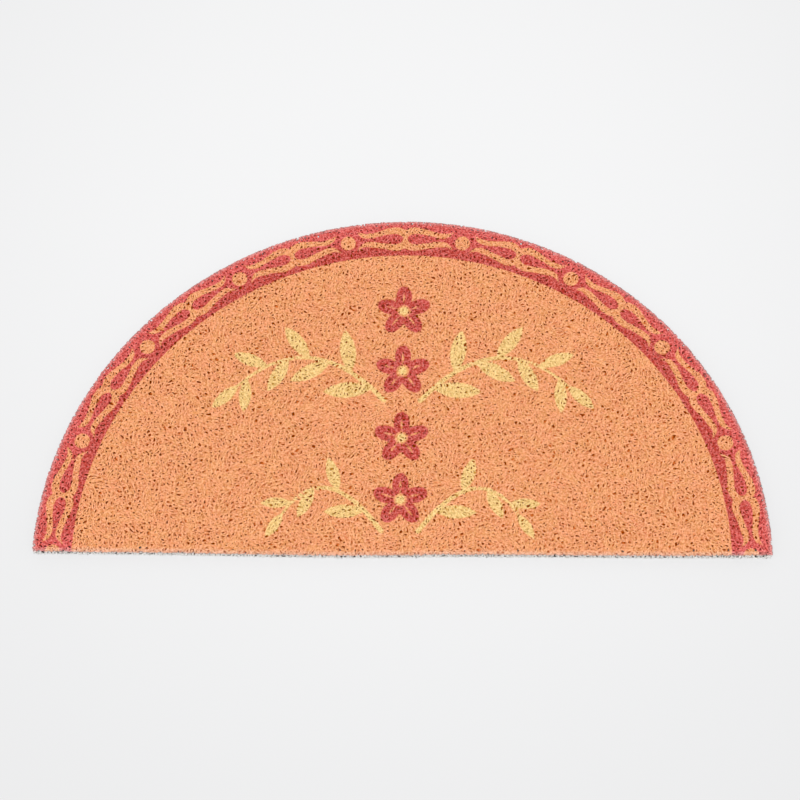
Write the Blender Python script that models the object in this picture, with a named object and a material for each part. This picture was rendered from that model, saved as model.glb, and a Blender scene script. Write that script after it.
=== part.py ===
"""A half-round doormat of coiled plastic filament, lying flat on the floor.

The mat is one piece, cut from a sheet of looped filament: a half-disc slab with a straight
front edge. Metres, +Z up. The origin is on the floor, at the middle of the mat's bounding box.
"""

import math

import bmesh
import bpy

# The sheet's size: the straight edge is a full diameter long, so the mat is half as deep as wide.
WIDTH = 0.800
RADIUS = WIDTH / 2
THICKNESS = 0.015

# Cut filaments spring back a little along the rim, which rounds its upper edge over this much.
RIM_ROUNDING = 0.0024
RIM_STEPS = 3

# How finely the round side and the straight edge are divided.
ARC_STEPS = 160
FRONT_STEPS = 40

# The straight edge lies this far in front of the origin.
FRONT_Y = -RADIUS / 2

# Edges that turn by more than this are creases, so only the underside's rim stays sharp.
CREASE_ANGLE = math.radians(40)

ORANGE = (0.87, 0.36, 0.14, 1.0)
SATIN_ROUGHNESS = 0.6


def clear_scene():
    """Removes whatever the scene holds."""
    for obj in list(bpy.data.objects):
        bpy.data.objects.remove(obj, do_unlink=True)


def coil_material():
    """Printed plastic filament: orange, with a soft sheen."""
    material = bpy.data.materials.new("printed_coil")
    material.use_nodes = True
    shader = material.node_tree.nodes["Principled BSDF"]
    shader.inputs["Base Color"].default_value = ORANGE
    shader.inputs["Roughness"].default_value = SATIN_ROUGHNESS
    shader.inputs["Metallic"].default_value = 0.0
    material.diffuse_color = ORANGE
    return material


def half_disc_outline(inset):
    """The mat's outline, drawn in by inset all round, as (x, y) anticlockwise from the right corner."""
    radius = RADIUS - inset
    corner_angle = math.asin(inset / radius)
    points = []
    for step in range(ARC_STEPS + 1):
        angle = corner_angle + (math.pi - 2 * corner_angle) * step / ARC_STEPS
        points.append((radius * math.cos(angle), FRONT_Y + radius * math.sin(angle)))
    left, right = points[-1][0], points[0][0]
    for step in range(1, FRONT_STEPS):
        points.append((left + (right - left) * step / FRONT_STEPS, FRONT_Y + inset))
    return points


def rim_sections():
    """(inset, height) of each outline from the floor up: a plumb wall, then a quarter-round edge."""
    sections = [(0.0, 0.0)]
    for step in range(RIM_STEPS + 1):
        turn = math.pi / 2 * step / RIM_STEPS
        inset = RIM_ROUNDING * (1 - math.cos(turn))
        height = THICKNESS - RIM_ROUNDING * (1 - math.sin(turn))
        sections.append((inset, height))
    return sections


def slab_mesh():
    """The slab as one closed mesh: a flat underside, a wall of outlines bridged in turn and a flat top."""
    mesh = bmesh.new()
    rings = []
    for inset, height in rim_sections():
        ring = [mesh.verts.new((x, y, height)) for x, y in half_disc_outline(inset)]
        rings.append(ring)
    count = len(rings[0])
    for lower, upper in zip(rings, rings[1:]):
        for index in range(count):
            after = (index + 1) % count
            mesh.faces.new((lower[index], lower[after], upper[after], upper[index]))
    mesh.faces.new(list(reversed(rings[0])))
    mesh.faces.new(rings[-1])
    bmesh.ops.recalc_face_normals(mesh, faces=mesh.faces)
    data = bpy.data.meshes.new("coil_mat")
    mesh.to_mesh(data)
    mesh.free()
    data.shade_smooth()
    data.set_sharp_from_angle(angle=CREASE_ANGLE)
    return data


def build_mat():
    """The doormat's one solid, resting on the floor."""
    mat = bpy.data.objects.new("coil_mat", slab_mesh())
    mat.data.materials.append(coil_material())
    bpy.context.scene.collection.objects.link(mat)
    return mat


clear_scene()
build_mat()
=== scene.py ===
# A half-round doormat of looped plastic filament, printed from above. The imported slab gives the
# outline and the height. Here the slab becomes a core, two layers of real filament loops, and
# rows of loops along the cut rim. Metres, +Z up, straight edge at the front (-Y).

import math

import bpy
import numpy as np
from mathutils import Matrix, Vector


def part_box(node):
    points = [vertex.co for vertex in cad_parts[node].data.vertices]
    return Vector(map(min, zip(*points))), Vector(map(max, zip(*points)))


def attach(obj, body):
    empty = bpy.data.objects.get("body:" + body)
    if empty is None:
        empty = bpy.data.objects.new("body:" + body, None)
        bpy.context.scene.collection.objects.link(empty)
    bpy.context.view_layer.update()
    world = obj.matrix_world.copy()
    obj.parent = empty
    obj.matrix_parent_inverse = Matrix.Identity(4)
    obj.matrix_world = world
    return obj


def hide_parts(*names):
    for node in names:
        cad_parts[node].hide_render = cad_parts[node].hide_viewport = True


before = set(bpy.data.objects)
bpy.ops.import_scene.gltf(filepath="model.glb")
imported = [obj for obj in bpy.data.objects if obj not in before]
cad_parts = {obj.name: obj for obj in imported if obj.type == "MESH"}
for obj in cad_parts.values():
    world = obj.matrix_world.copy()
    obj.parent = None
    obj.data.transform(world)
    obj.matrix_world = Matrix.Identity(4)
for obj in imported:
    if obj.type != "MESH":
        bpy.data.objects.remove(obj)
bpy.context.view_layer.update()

MM = 0.001

# Seeds of the random draws. Each layer of loops adds its own number to the first.
LAYER_SEED = 20
RIM_SEED = 30
CORE_SEED = 40

# The slab's own sizes, read from the frame.
slab_low, slab_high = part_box("coil_mat")
RADIUS = (slab_high.x - slab_low.x) / 2
FRONT_Y = slab_low.y
TOP_Z = slab_high.z

# The straight edge was cut by hand: at these distances from its middle it lies this far back.
FRONT_CUT = np.array([
    # along, back
    (-400, 1.9),
    (-240, 1.0),
    (-150, -0.4),
    (-75, -1.0),
    (5, -0.5),
    (50, 0.8),
    (300, 0.7),
    (400, 1.9),
]) * MM


def front_edge(x):
    """Where the straight edge lies at each x."""
    return FRONT_Y + np.interp(x, *FRONT_CUT.T)


def rim_depth(points):
    """How far inside the mat's outline a point is."""
    x, y = points[:, 0], points[:, 1]
    return np.minimum(RADIUS - np.hypot(x, y - FRONT_Y), y - front_edge(x))


# The print. A shape's function gives how far inside it a point is, and below 0 outside it.

# The red band and its orange discs, drawn round the middle of the straight edge.
BAND_INNER = 356.8 * MM
RING_RADIUS = 377.7 * MM
DISC_RADIUS = 8.7 * MM
SEGMENTS = 9
# Sections across half of the figure between two discs, whose two strands are joined by a bar in
# the middle. The distance along the band is followed by offsets outward of the strands' edges.
FIGURE = np.array([
    # along, outer strand's far and near edges, inner strand's near and far edges
    (3.4, 13.1, 2.9, -3.1, -13.2),
    (6.8, 14.4, 5.3, -5.7, -14.3),
    (11.5, 14.9, 6.5, -6.8, -14.6),
    (18.0, 14.1, 6.3, -6.1, -13.7),
    (26.3, 11.6, 5.1, -4.4, -11.3),
    (36.3, 9.4, 3.1, -2.1, -9.3),
    (42.0, 9.1, 2.9, -1.5, -8.3),
    (47.0, 9.6, 4.0, -1.8, -7.4),
    (51.2, 11.2, 6.6, -4.0, -8.3),
]) * MM
# Its edge starts and ends in the notches at its middle, and turns at the two strands' tips and at
# the side of the bar.
FIGURE_NOTCHES = ((0, 11.0 * MM), (0, -11.8 * MM))
FIGURE_TIPS = ((54.6 * MM, 13.6 * MM), (57.2 * MM, -11.6 * MM))
BAR_EDGE = (2.5 * MM, 0)
CURVE_STEPS = 3

# Red flowers in a column: how far their middles lie behind the straight edge.
BLOSSOM_PLACES = (287 * MM, 214 * MM, 134 * MM, 62 * MM)
PETALS = 5
# A petal is an oval this far from the middle, with these half sizes.
PETAL_REACH = 17.5 * MM
PETAL_HALF = (13.5 * MM, 9.0 * MM)
# Its slit starts at this share of that reach, and has this length and width.
SLIT_START = 0.45
SLIT_SIZE = (15 * MM, 2.6 * MM)
# The yellow eye, and the width of the orange ring round it.
EYE_RADIUS = 5.0 * MM
EYE_GAP = 2.2 * MM

# Yellow sprays on the right, which are repeated on the left.
SPRAYS = (
    # stem's start, bend and end, leaves, their length before they shrink
    ((20 * MM, 178 * MM), (104 * MM, 272 * MM), (184 * MM, 196 * MM), 7, 56 * MM),
    ((20 * MM, 26 * MM), (84 * MM, 114 * MM), (128 * MM, 46 * MM), 4, 47 * MM),
)
STEM_WIDTHS = (5.6 * MM, 3.0 * MM)
STEM_STEPS = 14
# Leaves stand off the stem at this angle, to either side in turn. The first one stands this share
# of their spacing along it, and at its end they would be this share shorter.
LEAF_ANGLE = 48
LEAF_START = 0.6
LEAF_SHRINK = 0.3
# Shares of that length: a leaf's width, and the length and width of the leaf at the stem's end.
LEAF_WIDTH = 0.34
TIP_LENGTH = 0.7
TIP_WIDTH = 0.24

# More than any distance on the mat.
FAR = 1.0


def along_and_across(x, y, origin, angle):
    """Distances from the origin along a heading in degrees, and to its left."""
    turn = math.radians(angle)
    x, y = x - origin[0], y - origin[1]
    along = x * math.cos(turn) + y * math.sin(turn)
    across = y * math.cos(turn) - x * math.sin(turn)
    return along, across


def leaf(x, y, base, angle, length, width):
    """A pointed leaf from its base, between two arcs that meet at both tips."""
    along, across = along_and_across(x, y, base, angle)
    offset = (length**2 - width**2) / (4 * width)
    return offset + width / 2 - np.hypot(along - length / 2, np.abs(across) + offset)


def oval(x, y, centre, angle, half_length, half_width):
    """An oval whose long axis lies at the angle."""
    along, across = along_and_across(x, y, centre, angle)
    return (1 - np.hypot(along / half_length, across / half_width)) * min(half_length, half_width)


def to_line(x, y, a, b):
    """The share of the line from a to b at which it is nearest to each point, and how near."""
    run = b - a
    share = np.clip(((x - a[0]) * run[0] + (y - a[1]) * run[1]) / (run @ run), 0, 1)
    return share, np.hypot(x - a[0] - share * run[0], y - a[1] - share * run[1])


def bent(start, bend, end, share):
    """A point and a heading on the curve that leaves start, turns towards bend and reaches end."""
    start, bend, end = (np.array(p, float) for p in (start, bend, end))
    point = (1 - share) ** 2 * start + 2 * share * (1 - share) * bend + share**2 * end
    slope = (1 - share) * (bend - start) + share * (end - bend)
    return point, math.degrees(math.atan2(slope[1], slope[0]))


def stem(x, y, start, bend, end):
    """A bent stroke that narrows from its start to its end."""
    thick, thin = STEM_WIDTHS
    reach = np.full(x.shape, -FAR)
    for step in range(STEM_STEPS):
        a, _ = bent(start, bend, end, step / STEM_STEPS)
        b, _ = bent(start, bend, end, (step + 1) / STEM_STEPS)
        share, gap = to_line(x, y, a, b)
        half = (thick + (thin - thick) * (step + share) / STEM_STEPS) / 2
        reach = np.maximum(reach, half - gap)
    return reach


def curved(knots):
    """Points on a smooth curve through the knots."""
    slopes = np.gradient(knots, axis=0)
    points = []
    for step in range(CURVE_STEPS):
        t = step / CURVE_STEPS
        points.append(
            (2 * t**3 - 3 * t**2 + 1) * knots[:-1] + (t**3 - 2 * t**2 + t) * slopes[:-1]
            + (3 * t**2 - 2 * t**3) * knots[1:] + (t**3 - t**2) * slopes[1:]
        )
    return np.vstack([np.stack(points, axis=1).reshape(-1, 2), knots[-1:]])


def figure_course():
    """The edge of half the figure: round the outer strand to the bar, then round the inner one."""
    along, *offsets = FIGURE.T
    outer_far, outer_near, inner_near, inner_far = (np.column_stack([along, row]) for row in offsets)
    return curved(np.vstack([
        FIGURE_NOTCHES[0], outer_far, FIGURE_TIPS[0], outer_near[::-1], BAR_EDGE,
        inner_near, FIGURE_TIPS[1], inner_far[::-1], FIGURE_NOTCHES[1],
    ]))


def inside_course(x, y, course):
    """How far inside a course each point is. Both ends of the course lie on the line x = 0."""
    gap = np.full(x.shape, FAR)
    crossed = np.zeros(x.shape, bool)
    for a, b in zip(course, course[1:]):
        gap = np.minimum(gap, to_line(x, y, a, b)[1])
        if a[1] != b[1]:
            spans = (y < a[1]) != (y < b[1])
            crossed ^= spans & (x < a[0] + (y - a[1]) / (b[1] - a[1]) * (b[0] - a[0]))
    return np.where(crossed, gap, -gap)


def band_shapes(x, y):
    """The orange shapes on the red band: discs, and figures between them."""
    rho = np.hypot(x, y)
    theta = np.arctan2(y, x)
    step = math.pi / SEGMENTS
    disc_angle = np.round(theta / step) * step
    disc_x = RING_RADIUS * np.cos(disc_angle)
    disc_y = RING_RADIUS * np.sin(disc_angle)
    disc = DISC_RADIUS - np.hypot(x - disc_x, y - disc_y)
    middle = (np.floor(theta / step) + 0.5) * step
    along = RING_RADIUS * np.abs(theta - middle)
    figure = np.full(x.shape, -FAR)
    near = rho > BAND_INNER
    figure[near] = inside_course(along[near], rho[near] - RING_RADIUS, figure_course())
    return np.maximum(disc, figure)


def blossom(x, y, centre_y):
    """Red petals round an open eye, each with a slit."""
    reach = np.full(x.shape, -FAR)
    for petal in range(PETALS):
        angle = 90 + 360 / PETALS * petal
        turn = math.radians(angle)
        away = np.array([math.cos(turn), math.sin(turn)])
        shape = oval(x, y, away * PETAL_REACH + (0, centre_y), angle, *PETAL_HALF)
        slit = leaf(x, y, away * PETAL_REACH * SLIT_START + (0, centre_y), angle, *SLIT_SIZE)
        reach = np.maximum(reach, np.minimum(shape, -slit))
    eye = EYE_RADIUS + EYE_GAP - np.hypot(x, y - centre_y)
    return np.minimum(reach, -eye)


def spray(x, y, start, bend, end, leaves, length):
    """A bent stem with leaves to either side in turn and one at its end."""
    reach = stem(x, y, start, bend, end)
    for index in range(leaves):
        share = (index + LEAF_START) / leaves
        point, heading = bent(start, bend, end, share)
        angle = heading + (LEAF_ANGLE if index % 2 else -LEAF_ANGLE)
        size = length * (1 - LEAF_SHRINK * share)
        reach = np.maximum(reach, leaf(x, y, point, angle, size, size * LEAF_WIDTH))
    point, heading = bent(start, bend, end, 1.0)
    tip = leaf(x, y, point, heading, length * TIP_LENGTH, length * TIP_WIDTH)
    return np.maximum(reach, tip)


def red_print(x, y):
    """The band without its orange shapes, and the flowers."""
    band = np.hypot(x, y) - BAND_INNER
    reach = np.minimum(band, -band_shapes(x, y))
    for centre_y in BLOSSOM_PLACES:
        reach = np.maximum(reach, blossom(x, y, centre_y))
    return reach


def yellow_print(x, y):
    """The sprays on both sides, and the flowers' eyes."""
    x = np.abs(x)
    reach = np.full(x.shape, -FAR)
    for course in SPRAYS:
        reach = np.maximum(reach, spray(x, y, *course))
    for centre_y in BLOSSOM_PLACES:
        reach = np.maximum(reach, EYE_RADIUS - np.hypot(x, y - centre_y))
    return reach


# Filament loops, as paths.

FILAMENT_RADIUS = 0.96 * MM
LOOP_PITCH = 6.0 * MM
ROW_SPACING = 5.8 * MM
LOOP_RADIUS = 3.0 * MM
# How much a loop differs from the next: in size, and in place along and across its row.
LOOP_SPREAD = 1.0 * MM
LOOP_SLIP = 1.2 * MM
LOOP_STRAY = 1.2 * MM
# A loop is this much wider across its row and narrower along it, as a factor between these.
LOOP_SHAPES = (0.9, 1.1)
# The turns that a loop makes before it runs over to the next one.
LOOP_TURNS = (0.8, 1.5)
# A loop stays round for this share of its turn, and in the rest it runs over to the next one.
LOOP_HOLD = 0.55
# How much higher or lower than its row a loop may lie.
LOOP_LIFT = 0.3 * MM
# Half the height that one turn of a loop climbs as it passes over the turn before it.
LOOP_LEAN = 0.5 * MM
# A layer's rows reach this much further than the mat is wide, and bend together in slow waves of
# this height, these lengths and this number.
LAYER_EXCESS = 60 * MM
WARP_HEIGHT = 6 * MM
WARP_LENGTHS = (40 * MM, 90 * MM)
WARP_WAVES = 8
LAYERS = (
    # name, height of the loops' middle below the top, steps in a turn, direction of its rows
    ("pile", 1.6 * MM, 10, 98.0),
    ("under", 2.2 * MM, 8, 23.0),
)
PIECES_PER_LAYER = 3
# Near the outline both layers droop, as the slab's own edge is rounded.
EDGE_ROUNDING = 2.4 * MM
# Filaments are cut off this far inside the slab's outline, or outside it where below 0.
CUT_MARGIN = -0.1 * MM

# More rows lie below those layers along the cut rim.
RIM_ROWS = (
    # height, inset
    (1.8 * MM, 1.8 * MM),
    (1.8 * MM, 5.2 * MM),
    (5.4 * MM, 3.2 * MM),
    (9.2 * MM, 1.8 * MM),
    (9.2 * MM, 5.2 * MM),
)
# Steps in a turn there, and how much a loop is lifted and leans.
RIM_STEPS = 8
RIM_LIFT = 1.0 * MM
RIM_LEAN = 1.5 * MM


def smooth(t):
    """Eases a share from 0 to 1 with level ends."""
    t = np.clip(t, 0, 1)
    return t * t * (3 - 2 * t)


def looped_row(rng, length, steps, lift=LOOP_LIFT, lean=LOOP_LEAN):
    """A row of overlapping loops along +X from 0, as a path whose turns pass over one another."""
    hand = rng.choice([-1, 1])
    loops = int(length / LOOP_PITCH) + 1
    t = np.arange(loops * steps) / steps
    whole = np.arange(loops + 1)
    held = np.floor(t) + smooth((t % 1 - LOOP_HOLD) / (1 - LOOP_HOLD))
    turned = np.cumsum(rng.uniform(*LOOP_TURNS, loops + 1))

    def varied(at, lowest, highest):
        return np.interp(at, whole, rng.uniform(lowest, highest, loops + 1))

    radius = LOOP_RADIUS + varied(t, -1, 1) * LOOP_SPREAD
    shape = varied(t, *LOOP_SHAPES)
    middle_x = held * LOOP_PITCH + varied(held, -1, 1) * LOOP_SLIP
    middle_y = varied(held, -1, 1) * LOOP_STRAY
    rise = varied(held, -1, 1) * lift
    phase = 2 * math.pi * np.interp(t, whole, turned)
    x = middle_x + radius / shape * np.cos(phase)
    y = middle_y + radius * shape * np.sin(phase) * hand
    z = rise + lean * np.cos(phase + varied(t, 0, math.pi))
    return np.column_stack([x, y, z])


def warp_waves(rng):
    """Slow waves, as the wave number, heading and phase of each."""
    waves = []
    for _ in range(WARP_WAVES):
        heading, phase = rng.uniform(0, 2 * math.pi, 2)
        waves.append((2 * math.pi / rng.uniform(*WARP_LENGTHS), heading, phase))
    return waves


def warped(points, waves):
    """The points, shifted sideways to each wave's heading, which keeps the loops as dense."""
    shift = np.zeros_like(points[:, :2])
    for number, heading, phase in waves:
        ahead = points[:, 0] * math.cos(heading) + points[:, 1] * math.sin(heading)
        height = np.sin(number * ahead + phase) * WARP_HEIGHT / math.sqrt(WARP_WAVES)
        shift += height[:, None] * np.array([-math.sin(heading), math.cos(heading)])
    return points[:, :2] + shift


def droop(depth):
    """How far a quarter-round edge has fallen at this depth inside the outline."""
    away = np.clip(1 - depth / EDGE_ROUNDING, 0, 1)
    return EDGE_ROUNDING * (1 - np.sqrt(1 - away**2))


def clipped(path):
    """The runs of a path that lie inside the outline, cut where they cross it."""
    depth = rim_depth(path) - CUT_MARGIN
    inside = depth > 0
    edges = np.flatnonzero(np.diff(inside.astype(int)))
    runs = []
    for before, last in zip([-1, *edges], [*edges, len(path) - 1]):
        first = before + 1
        if not inside[first]:
            continue
        run = path[first : last + 1]
        if first > 0:
            share = depth[first] / (depth[first] - depth[first - 1])
            run = np.vstack([run[0] + (path[first - 1] - run[0]) * share, run])
        if last + 1 < len(path):
            share = depth[last] / (depth[last] - depth[last + 1])
            run = np.vstack([run, path[last] + (path[last + 1] - path[last]) * share])
        if len(run) > 2:
            runs.append(run)
    return runs


def looped_layer(rng, middle_z, steps, direction):
    """Rows of loops side by side over the whole slab, cut at its outline."""
    turn = math.radians(direction)
    spin = np.array([[math.cos(turn), math.sin(turn)], [-math.sin(turn), math.cos(turn)]])
    span = 2 * RADIUS + LAYER_EXCESS
    waves = warp_waves(rng)
    rows = []
    for index in range(int(span / ROW_SPACING)):
        path = looped_row(rng, span, steps)
        path[:, 0] -= span / 2 + rng.uniform(0, LOOP_PITCH)
        path[:, 1] += (index + 0.5) * ROW_SPACING - span / 2
        path[:, :2] = path[:, :2] @ spin
        path[:, :2] = warped(path, waves)
        path[:, 1] += FRONT_Y + RADIUS / 2
        path[:, 2] += middle_z - droop(rim_depth(path))
        rows.append(clipped(path))
    return rows


def outline_point(along):
    """Position and outward heading at a distance along the outline, from the right corner round."""
    arc = math.pi * RADIUS
    on_arc = along < arc
    angle = np.where(on_arc, along / RADIUS, math.pi)
    left_run = np.maximum(along - arc, 0)
    x = np.where(on_arc, RADIUS * np.cos(angle), left_run - RADIUS)
    y = np.where(on_arc, FRONT_Y + RADIUS * np.sin(angle), front_edge(x))
    out_x = np.where(on_arc, np.cos(angle), 0)
    out_y = np.where(on_arc, np.sin(angle), -1)
    return x, y, out_x, out_y


def rim_runs(rng, height, inset):
    """A row of loops that follows the rim at this inset, cut where it crosses the outline."""
    length = (math.pi + 2) * RADIUS
    path = looped_row(rng, length, RIM_STEPS, RIM_LIFT, RIM_LEAN)
    x, y, out_x, out_y = outline_point(np.mod(path[:, 0], length))
    inward = inset + path[:, 1]
    z = np.maximum(path[:, 2] + height, FILAMENT_RADIUS)
    return clipped(np.column_stack([x - out_x * inward, y - out_y * inward, z]))


# Meshes.

TUBE_SIDES = 3
# A map of this name, for baking colours, on which a face lies as seen from above.
# Along its shorter side, faces that look up by more than LOOKS_UP take the first of these parts,
# and others the second.
BAKE_MAP = "OFBake"
MAP_PARTS = ((0.005, 0.595), (0.605, 0.995))
LOOKS_UP = 0.05
# The rim's loops stand over one another and behind one another. On its map what is lower lies up
# to this share further in, and what is deeper than this in the rim lies that share further in.
RIM_SPREAD = 0.4
RIM_INNER = 3 * MM

# The core under the loops, and the foot that its wall slopes out to.
CORE_INSET = 8.0 * MM
CORE_TOP = 9.3 * MM
FOOT_INSET = 0.9 * MM
FOOT_TOP = 0.6 * MM
# Its top is a grid of this many cells. Each point of it is raised at random by a multiple of the
# lump height between these two.
CORE_ACROSS = 140
CORE_ALONG = 70
CORE_LUMPS = 0.9 * MM
LUMP_LIMITS = (-2.5, 1)


def group_starts(counts):
    """Where each group starts in a flat list of groups that hold these counts."""
    return np.concatenate([[0], np.cumsum(counts)[:-1]])


def write_values(data, label, values):
    """One number for each point of the mesh, under a name that its material reads."""
    layer = data.attributes.new(label, "FLOAT", "POINT")
    layer.data.foreach_set("value", values.astype(np.float32))


def write_bake_map(data, vertices, loops, sizes, spread):
    """Lays the faces out on the bake map."""
    depth = np.add.reduceat(rim_depth(vertices)[loops], group_starts(sizes)) / sizes
    inner = np.repeat(depth > RIM_INNER, sizes)[:, None]
    points = vertices[loops]
    inward = (1 - spread * (1 - points[:, 2:] / TOP_Z)) * (1 - spread * inner)
    middle = np.array([0, FRONT_Y + RADIUS / 2])
    places = middle + (points[:, :2] - middle) * inward
    low, high = places.min(axis=0), places.max(axis=0)
    places = (places - low) / (high - low)
    normals = np.empty(len(sizes) * 3, np.float32)
    data.polygons.foreach_get("normal", normals)
    upward = np.repeat(normals[2::3] > LOOKS_UP, sizes)
    shorter = np.argmin(high - low)
    for (start, end), faces in zip(MAP_PARTS, (upward, ~upward)):
        places[faces, shorter] = start + places[faces, shorter] * (end - start)
    layer = data.uv_layers.new(name=BAKE_MAP)
    layer.uv.foreach_set("vector", places.astype(np.float32).ravel())


def new_mesh(name, vertices, loops, sizes, spread=0.0):
    """A mesh object from flat arrays, shaded smooth, with the print written on its points."""
    data = bpy.data.meshes.new(name)
    data.vertices.add(len(vertices))
    data.vertices.foreach_set("co", vertices.astype(np.float32).ravel())
    data.loops.add(len(loops))
    data.loops.foreach_set("vertex_index", loops.astype(np.int32))
    data.polygons.add(len(sizes))
    data.polygons.foreach_set("loop_start", group_starts(sizes).astype(np.int32))
    data.update(calc_edges=True)
    data.shade_smooth()
    x, y = vertices[:, 0], vertices[:, 1] - FRONT_Y
    write_values(data, "red_reach", red_print(x, y))
    write_values(data, "yellow_reach", yellow_print(x, y))
    write_values(data, "rim_depth", rim_depth(vertices))
    write_bake_map(data, vertices, loops, sizes, spread)
    obj = bpy.data.objects.new(name, data)
    bpy.context.scene.collection.objects.link(obj)
    return obj


def tube_corners(path, starts, last):
    """The points of a tube round each run, corner by corner at each point of its path."""
    tangent = np.empty_like(path)
    tangent[1:-1] = path[2:] - path[:-2]
    tangent[starts] = path[starts + 1] - path[starts]
    tangent[last] = path[last] - path[last - 1]
    tangent /= np.linalg.norm(tangent, axis=1)[:, None]
    side = np.cross(tangent, (0, 0, 1))
    side /= np.linalg.norm(side, axis=1)[:, None]
    above = np.cross(side, tangent)
    corners = []
    for corner in range(TUBE_SIDES):
        angle = math.pi * (2 * corner / TUBE_SIDES - 0.5)
        corners.append(path + FILAMENT_RADIUS * (side * math.cos(angle) + above * math.sin(angle)))
    return np.stack(corners, axis=1).reshape(-1, 3)


def tube_mesh(name, runs, spread=0.0):
    """One mesh of closed tubes round the runs, which never climb steeply."""
    path = np.vstack(runs)
    lengths = np.array([len(run) for run in runs])
    starts = group_starts(lengths)
    last = starts + lengths - 1
    vertices = tube_corners(path, starts, last)
    here = np.setdiff1d(np.arange(len(path)), last) * TUBE_SIDES
    ahead = here + TUBE_SIDES
    quads = []
    for corner in range(TUBE_SIDES):
        after = (corner + 1) % TUBE_SIDES
        quads.append(np.column_stack([here + after, here + corner, ahead + corner, ahead + after]))
    quads = np.vstack(quads)
    # Where faces share a place on the bake map, the last one shows. It has to be the highest one,
    # or on the rim's map the outermost.
    rank = -rim_depth(vertices) if spread else vertices[:, 2]
    quads = quads[np.argsort(rank[quads].sum(axis=1), kind="stable")]
    caps = np.arange(TUBE_SIDES)
    near = (starts * TUBE_SIDES)[:, None] + caps
    far = (last * TUBE_SIDES)[:, None] + caps[::-1]
    triangles = np.vstack([near, far])
    loops = np.concatenate([quads.ravel(), triangles.ravel()])
    sizes = np.concatenate([np.full(len(quads), 4), np.full(len(triangles), TUBE_SIDES)])
    return new_mesh(name, vertices, loops, sizes, spread)


def half_disc_grid(inset):
    """A square grid squeezed into the outline, drawn in by the inset."""
    u, v = np.meshgrid(np.linspace(-1, 1, CORE_ACROSS + 1), np.linspace(0, 1, CORE_ALONG + 1))
    x = u * np.sqrt(1 - v**2 / 2) * (RADIUS - inset)
    y = v * np.sqrt(1 - u**2 / 2) * (RADIUS - 2 * inset) + inset
    y += FRONT_Y + (1 - v) * (front_edge(x) - FRONT_Y)
    return x.ravel(), y.ravel()


def core_mesh(rng):
    """The closed body under the loops: a lumpy top, a wall that slopes out and a flat base."""
    x, y = half_disc_grid(CORE_INSET)
    lumps = np.clip(rng.normal(0, 1, x.shape), *LUMP_LIMITS)
    top = np.column_stack([x, y, CORE_TOP + lumps * CORE_LUMPS])
    number = np.arange(len(x)).reshape(CORE_ALONG + 1, CORE_ACROSS + 1)
    corners = [number[:-1, :-1], number[:-1, 1:], number[1:, 1:], number[1:, :-1]]
    quads = [np.stack(corners, axis=-1).reshape(-1, 4)]
    sides = [number[0, :-1], number[:-1, -1], number[-1, :0:-1], number[:0:-1, 0]]
    edge = np.concatenate(sides)
    x, y = half_disc_grid(FOOT_INSET)
    rings = [top]
    upper = edge
    for height in (FOOT_TOP, 0):
        rings.append(np.column_stack([x[edge], y[edge], np.full(len(edge), height)]))
        lower = len(top) + len(edge) * (len(rings) - 2) + np.arange(len(edge))
        quads.append(np.column_stack([lower, np.roll(lower, -1), np.roll(upper, -1), upper]))
        upper = lower
    quads = np.vstack(quads)
    rings.append([(0, FRONT_Y + RADIUS / 2, 0)])
    middle = np.full(len(edge), upper[-1] + 1)
    base = np.column_stack([middle, np.roll(upper, -1), upper])
    loops = np.concatenate([quads.ravel(), base.ravel()])
    sizes = np.concatenate([np.full(len(quads), 4), np.full(len(base), 3)])
    return new_mesh("mat_core", np.vstack(rings), loops, sizes)


# Materials. Colours are linear.

BARE = (0.88, 0.86, 0.83)
# The orange drifts slowly between its two inks, and the red is paler where it runs along the rim.
ORANGE_INKS = ((0.824, 0.312, 0.118), (0.820, 0.331, 0.113))
YELLOW_INK = (0.848, 0.553, 0.190)
RED_INK = (0.568, 0.045, 0.026)
RIM_RED = (0.686, 0.079, 0.064)
RIM_RED_DEPTHS = (8 * MM, 36 * MM)

# Each noise has a scale and a detail, and takes effect between two of its values.
DRIFT_NOISE = (60, 2)
DRIFT_RANGE = (0.35, 0.65)
SPECK_NOISE = (420, 3)
SPECK_RANGE = (0.3, 0.7)
# The core's painted pit shade.
PIT_SHADE_NOISE = (260, 1)
PIT_SHADE_RANGE = (0.485, 0.545)
GLOSS_NOISE = (900, 2)
GLOSS_RANGE = (0.3, 0.7)
ROUGHNESS = (0.42, 0.6)

# The print's edges waver with this noise, by this much, and are this soft to either side.
EDGE_NOISE = (420, 2)
EDGE_WAVER = 1.6 * MM
RED_BLUR = 0.7 * MM
YELLOW_BLUR = 0.9 * MM

# In specks the ink is thin or thick: the share of bare plastic that shows through where it is
# thinnest, how light it is where thick and where thin, and how much more that shows in red.
THIN_INK = 0.14
SPECK_TONES = (0.85, 1.09)
RED_CONTRAST = 1.6

# Lower in the coil the colour is multiplied by these factors, as painted shade that makes it deeper
# and darker: wholly below the first of these heights, and not at all above the second.
SHADED_ORANGE = (0.92, 0.52, 0.21)
SHADED_YELLOW = (0.88, 0.68, 0.28)
SHADED_RED = (0.70, 0.38, 0.30)
DEEP_HEIGHTS = (11.3 * MM, 13.6 * MM)
# Down there it misses what faces up by less than the first of these, and covers what does so by
# more than the second.
DEEP_FACING = (-0.2, 0.4)
# At any height it thins out on what faces down, from the second of these to the first.
DOWN_FACING = (-1.0, -0.7)

# On the cut rim the ink fades between these heights, unevenly, and from this depth inside it on
# it reaches this much lower.
INK_FADE = (8.5 * MM, 13.3 * MM)
FADE_NOISE = (180, 1)
FADE_WAVER = 4 * MM
INK_REACH = 8 * MM
INK_REACH_DEPTH = 5 * MM
# Over this depth the ink on top thins out towards the rim to this share, and painted shade darkens
# its tone to the other where the edge rounds over.
RIM_FRAY_AND_SHADE = 5.6 * MM
FRAY_INK = 0.80
RIM_SHADE = 0.93
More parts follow.
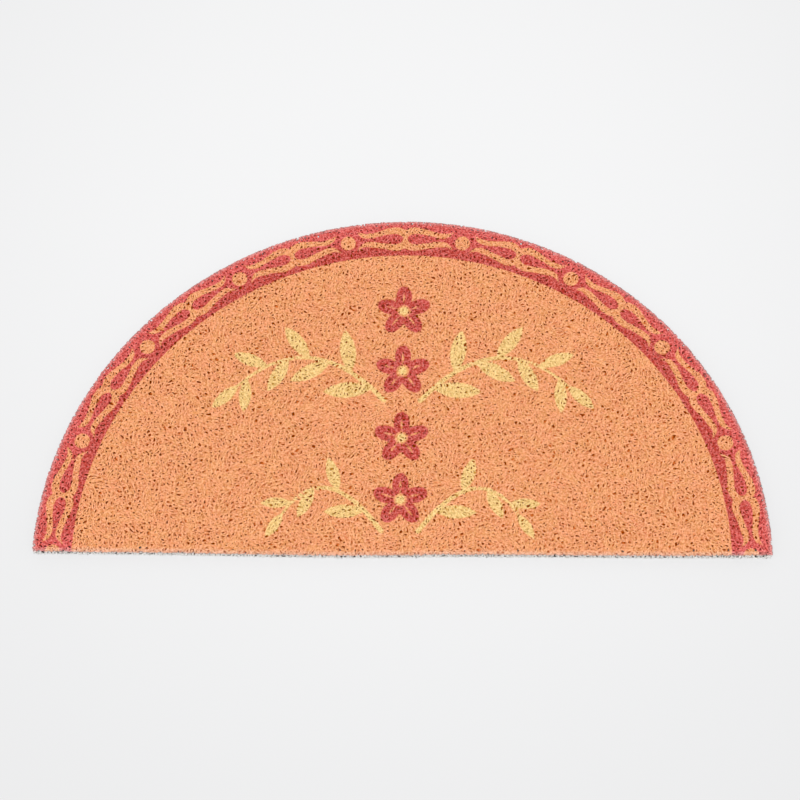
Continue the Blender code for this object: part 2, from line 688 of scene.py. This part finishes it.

# The core's pits, painted shade where its top is soaked, which it is from the second of these depths
# on.
PAINTED_PIT_SHADE = (0.32, 0.05, 0.0)
WALL_DEPTHS = (6.5 * MM, 8.5 * MM)
# The core's wall is painted with shade: bare and light at its very foot, dark above the first of
# these pairs of heights, and less dark above the second.
PAINTED_WALL_SHADES = ((0.05, 0.045, 0.04), (0.17, 0.16, 0.15))
SHADE_HEIGHTS = (0.3 * MM, 1.2 * MM)
FAINT_HEIGHTS = (2.5 * MM, 4.5 * MM)
# Its base, which faces down by more than the first of these, is bare and light.
BASE_FACING = (-0.9, -0.5)

# Fine bumps on the filaments.
BUMP_NOISE = (1800, 2)
BUMP_STRENGTH = 0.5
BUMP_HEIGHT = 0.12 * MM

FLOOR_COLOUR = (0.30, 0.30, 0.303, 1)
FLOOR_ROUGHNESS = 0.95
# The floor's glow falls from the first strength to the second between these two distances from
# its centre.
GLOW_COLOUR = (1.0, 1.0, 1.0, 1)
GLOW_CENTRE = (0, 0.18, 0)
GLOW_REACH = (0.15, 0.90)
GLOW_STRENGTHS = (0.497, 0.417)

# No highlights: in so even a light they would only pale the colours.
SPECULAR = 0.0

# The mix node's own numbers for its two colours and for the mixed one.
MIX_INPUTS = (6, 7)
MIX_OUTPUT = 2


class Nodes:
    """Adds nodes to a material. An input is given as a value or as the output it is linked to."""

    def __init__(self, name):
        self.material = bpy.data.materials.new(name)
        self.material.use_nodes = True
        self.tree = self.material.node_tree
        self.shader = self.tree.nodes["Principled BSDF"]

    def add(self, kind, settings=(), *values, **inputs):
        """A node with these settings, whose inputs are given in their order or by name."""
        node = self.tree.nodes.new(kind)
        for key, value in dict(settings).items():
            setattr(node, key, value)
        for key, value in (*enumerate(values), *inputs.items()):
            self.plug(node, key, value)
        return node

    def plug(self, node, key, value):
        """Gives one input of a node, which has a number or a name, its value or its link."""
        socket = node.inputs[key]
        if isinstance(value, bpy.types.NodeSocket):
            self.tree.links.new(value, socket)
        else:
            socket.default_value = value

    def stored(self, label):
        """The number stored on the mesh's points under this name."""
        return self.add("ShaderNodeAttribute", {"attribute_name": label}).outputs["Fac"]

    def upward(self, vector):
        """The vector's part along Z."""
        return self.add("ShaderNodeSeparateXYZ", Vector=vector).outputs["Z"]

    def math(self, operation, a, b):
        """A sum, product or other result of two numbers."""
        return self.add("ShaderNodeMath", {"operation": operation}, a, b).outputs[0]

    def ramp(self, value, start, end, low_value=0.0, high_value=1.0):
        """Runs smoothly from low_value at start to high_value at end."""
        limits = (start, end, low_value, high_value)
        node = self.add("ShaderNodeMapRange", {"interpolation_type": "SMOOTHSTEP"}, value, *limits)
        return node.outputs["Result"]

    def noise(self, place, scale, detail):
        """Smooth noise, mostly near 0.5."""
        node = self.add("ShaderNodeTexNoise", Vector=place, Scale=scale, Detail=detail)
        return node.outputs["Fac"]

    def waver(self, place, scale, detail, amount):
        """Noise that goes up and down round 0 by the amount."""
        centred = self.math("SUBTRACT", self.noise(place, scale, detail), 0.5)
        return self.math("MULTIPLY", centred, amount)

    def mix(self, share, a, b, blend="MIX"):
        """Colour a where the share is 0, and where it is 1 colour b, or a blended with b."""
        node = self.add("ShaderNodeMix", {"data_type": "RGBA", "blend_type": blend}, share)
        for key, colour in zip(MIX_INPUTS, (a, b)):
            self.plug(node, key, (*colour, 1.0) if isinstance(colour, tuple) else colour)
        return node.outputs[MIX_OUTPUT]


class FilamentNodes(Nodes):
    """The nodes of printed filament, which share what they read from the mesh."""

    def __init__(self, name):
        super().__init__(name)
        self.place = self.add("ShaderNodeTexCoord").outputs["Object"]
        self.height = self.upward(self.place)
        self.facing = self.upward(self.add("ShaderNodeNewGeometry").outputs["Normal"])
        self.depth = self.stored("rim_depth")
        waver = self.waver(self.place, *EDGE_NOISE, EDGE_WAVER)
        self.red = self.ramp(self.math("ADD", self.stored("red_reach"), waver), -RED_BLUR, RED_BLUR)
        yellow = self.math("ADD", self.stored("yellow_reach"), waver)
        self.yellow = self.ramp(yellow, -YELLOW_BLUR, YELLOW_BLUR)
        self.specks = self.ramp(self.noise(self.place, *SPECK_NOISE), *SPECK_RANGE)
        self.sunk = self.ramp(self.height, *DEEP_HEIGHTS, 1.0, 0.0)

    def ink(self):
        """The printed colour, paler in specks, with painted shade that makes it deeper lower in the
        coil.
        """
        drift = self.ramp(self.noise(self.place, *DRIFT_NOISE), *DRIFT_RANGE)
        red_ink = self.mix(self.ramp(self.depth, *RIM_RED_DEPTHS), RIM_RED, RED_INK)
        ink = self.mix(self.yellow, self.mix(drift, *ORANGE_INKS), YELLOW_INK)
        ink = self.mix(self.red, ink, red_ink)
        ink = self.mix(self.math("MULTIPLY", self.specks, THIN_INK), ink, BARE)
        # Painted shade: deeper and darker colour lower down in the coil.
        coil_shade = self.mix(self.yellow, SHADED_ORANGE, SHADED_YELLOW)
        coil_shade = self.mix(self.red, coil_shade, SHADED_RED)
        return self.mix(self.sunk, ink, coil_shade, "MULTIPLY")

    def soaked(self):
        """The share of the filament that the ink covers."""
        waver = self.waver(self.place, *FADE_NOISE, FADE_WAVER)
        reach = self.math("ADD", waver, self.ramp(self.depth, 0.0, INK_REACH_DEPTH, 0.0, INK_REACH))
        soaked = self.ramp(self.math("ADD", self.height, reach), *INK_FADE)
        frayed = self.ramp(self.depth, 0.0, RIM_FRAY_AND_SHADE, FRAY_INK, 1.0)
        missed = self.math("MULTIPLY", self.sunk, self.ramp(self.facing, *DEEP_FACING, 1.0, 0.0))
        reached = self.math("SUBTRACT", 1.0, missed)
        for share in (frayed, self.ramp(self.facing, *DOWN_FACING), reached):
            soaked = self.math("MULTIPLY", soaked, share)
        return soaked

    def tone(self):
        """A grey that the colour is multiplied by: specks, stronger in the red, and painted shade at
        the rim.
        """
        tone = self.ramp(self.specks, 0.0, 1.0, *SPECK_TONES)
        tone = self.math("POWER", tone, self.ramp(self.red, 0.0, 1.0, 1.0, RED_CONTRAST))
        # Painted shade where the rim rounds over.
        tone = self.math("MULTIPLY", tone, self.ramp(self.depth, 0.0, RIM_FRAY_AND_SHADE, RIM_SHADE, 1.0))
        return self.add("ShaderNodeCombineColor", Red=tone, Green=tone, Blue=tone).outputs[0]

    def with_painted_shade(self, colour, soaked):
        """The colour with painted shade in the core's pits and on its wall, and with its base bare.
        """
        soaked = self.math("MULTIPLY", soaked, self.ramp(self.depth, *WALL_DEPTHS))
        # Painted shade: dark patches of noise on the core's soaked top, for the deep holes.
        raised = self.ramp(self.noise(self.place, *PIT_SHADE_NOISE), *PIT_SHADE_RANGE)
        raised = self.math("MULTIPLY", raised, soaked)
        # Painted shade on the core's wall, seen through the gaps between the rim's loops.
        shade = self.mix(self.ramp(self.height, *FAINT_HEIGHTS), *PAINTED_WALL_SHADES)
        wall = self.mix(self.ramp(self.height, *SHADE_HEIGHTS), BARE, shade)
        colour = self.mix(raised, self.mix(soaked, wall, PAINTED_PIT_SHADE), colour)
        return self.mix(self.ramp(self.facing, *BASE_FACING), BARE, colour)


def printed_filament(name, with_painted_shade=False):
    """Bare plastic filament with ink on what faces up near the top, and none further down."""
    nodes = FilamentNodes(name)
    soaked = nodes.soaked()
    colour = nodes.mix(soaked, BARE, nodes.ink())
    colour = nodes.mix(1.0, colour, nodes.tone(), "MULTIPLY")
    if with_painted_shade:
        colour = nodes.with_painted_shade(colour, soaked)
    gloss = nodes.noise(nodes.place, *GLOSS_NOISE)
    bumps = nodes.noise(nodes.place, *BUMP_NOISE)
    bump = nodes.add("ShaderNodeBump", Height=bumps, Strength=BUMP_STRENGTH, Distance=BUMP_HEIGHT)
    nodes.plug(nodes.shader, "Base Color", colour)
    nodes.plug(nodes.shader, "Roughness", nodes.ramp(gloss, *GLOSS_RANGE, *ROUGHNESS))
    nodes.plug(nodes.shader, "Normal", bump.outputs["Normal"])
    nodes.plug(nodes.shader, "Specular IOR Level", SPECULAR)
    return nodes.material


def floor_material():
    """A plain pale floor that glows a little, as a lit studio table does, and less further out."""
    nodes = Nodes("pale_floor")
    place = nodes.add("ShaderNodeTexCoord").outputs["Object"]
    offset = nodes.add("ShaderNodeVectorMath", {"operation": "SUBTRACT"}, place, GLOW_CENTRE)
    away = nodes.add("ShaderNodeVectorMath", {"operation": "LENGTH"}, offset.outputs["Vector"])
    glow = nodes.ramp(away.outputs["Value"], *GLOW_REACH, *GLOW_STRENGTHS)
    nodes.plug(nodes.shader, "Base Color", FLOOR_COLOUR)
    nodes.plug(nodes.shader, "Roughness", FLOOR_ROUGHNESS)
    nodes.plug(nodes.shader, "Specular IOR Level", SPECULAR)
    nodes.plug(nodes.shader, "Emission Color", GLOW_COLOUR)
    nodes.plug(nodes.shader, "Emission Strength", glow)
    return nodes.material


# The mat's pieces.


def dress(obj, material):
    """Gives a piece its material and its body."""
    obj.data.materials.append(material)
    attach(obj, "root")
    return obj


def build_layers(material):
    """Each layer of loops, as several pieces of neighbouring rows."""
    pieces = []
    for layer, (label, below, steps, direction) in enumerate(LAYERS):
        rng = np.random.default_rng(LAYER_SEED + layer)
        rows = [row for row in looped_layer(rng, TOP_Z - below, steps, direction) if row]
        points = np.cumsum([sum(map(len, row)) for row in rows])
        parts = points * PIECES_PER_LAYER // (points[-1] + 1)
        for part in range(PIECES_PER_LAYER):
            runs = [run for row, its_part in zip(rows, parts) if its_part == part for run in row]
            piece = tube_mesh(f"coil_{label}_{part + 1}", runs)
            pieces.append(dress(piece, material))
    return pieces


def build_rim(material):
    """The rows of loops along the cut rim, below the two layers."""
    rng = np.random.default_rng(RIM_SEED)
    runs = []
    for height, inset in RIM_ROWS:
        runs += rim_runs(rng, height, inset)
    return dress(tube_mesh("rim_coils", runs, RIM_SPREAD), material)


def build_core():
    """The core under the loops, which takes the slab's place."""
    core = core_mesh(np.random.default_rng(CORE_SEED))
    return dress(core, printed_filament("core_filament", with_painted_shade=True))


# The floor, the light and the camera.

FLOOR_SIZE = 40
SKY_COLOUR = (0.99, 0.995, 1.0, 1)
SKY_STRENGTH = 0.7
# The lamp stands high, a little in front and to the left, and is this many degrees wide.
KEY_STRENGTH = 2.3
KEY_SPREAD = 30
KEY_FROM = (-0.05, -0.26, 1.0)

# The camera, fitted to the photo's view of the outline and of the band: its lens and the photo's
# width in pixels, its angles in degrees, its distance from the point of the floor that it aims
# at, and that point, given from the middle of the straight edge.
CAMERA_LENS_PX = 1984.4
FRAME_PX = 800
SENSOR_MM = 36
CAMERA_AZIMUTH = 7.279
CAMERA_ELEVATION = 68.248
CAMERA_ROLL = -6.653
CAMERA_DISTANCE = 2.2211
CAMERA_AIM = (-0.0031, 0.1843)


def build_stage():
    """A pale floor, an even sky and one broad soft light."""
    bpy.ops.mesh.primitive_plane_add(size=FLOOR_SIZE)
    floor = bpy.context.object
    floor.name = "floor"
    floor.data.materials.append(floor_material())
    world = bpy.data.worlds.new("studio")
    world.use_nodes = True
    sky = world.node_tree.nodes["Background"]
    sky.inputs["Color"].default_value = SKY_COLOUR
    sky.inputs["Strength"].default_value = SKY_STRENGTH
    bpy.context.scene.world = world
    lamp = bpy.data.lights.new("softbox", "SUN")
    lamp.energy = KEY_STRENGTH
    lamp.angle = math.radians(KEY_SPREAD)
    light = bpy.data.objects.new("softbox", lamp)
    light.rotation_euler = Vector(KEY_FROM).to_track_quat("Z", "Y").to_euler()
    bpy.context.scene.collection.objects.link(light)


def build_camera():
    """Looks down at the mat from the front."""
    azimuth, elevation, roll = map(math.radians, (CAMERA_AZIMUTH, CAMERA_ELEVATION, CAMERA_ROLL))
    back = Vector((
        math.sin(azimuth) * math.cos(elevation),
        -math.cos(azimuth) * math.cos(elevation),
        math.sin(elevation),
    ))
    level = Vector((math.cos(azimuth), math.sin(azimuth), 0))
    upright = back.cross(level)
    right = math.cos(roll) * level + math.sin(roll) * upright
    up = math.cos(roll) * upright - math.sin(roll) * level
    aim = Vector((CAMERA_AIM[0], FRONT_Y + CAMERA_AIM[1], 0))
    data = bpy.data.cameras.new("camera")
    data.sensor_width = SENSOR_MM
    data.lens = CAMERA_LENS_PX / FRAME_PX * SENSOR_MM
    camera = bpy.data.objects.new("camera", data)
    turn = Matrix((right, up, back)).transposed().to_4x4()
    camera.matrix_world = Matrix.Translation(aim + back * CAMERA_DISTANCE) @ turn
    bpy.context.scene.collection.objects.link(camera)
    bpy.context.scene.camera = camera


build_camera()
filament = printed_filament("printed_filament")
coils = build_layers(filament)
coils.append(build_rim(filament))
core = build_core()
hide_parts("coil_mat")
build_stage()
bpy.context.scene.view_settings.view_transform = "Standard"
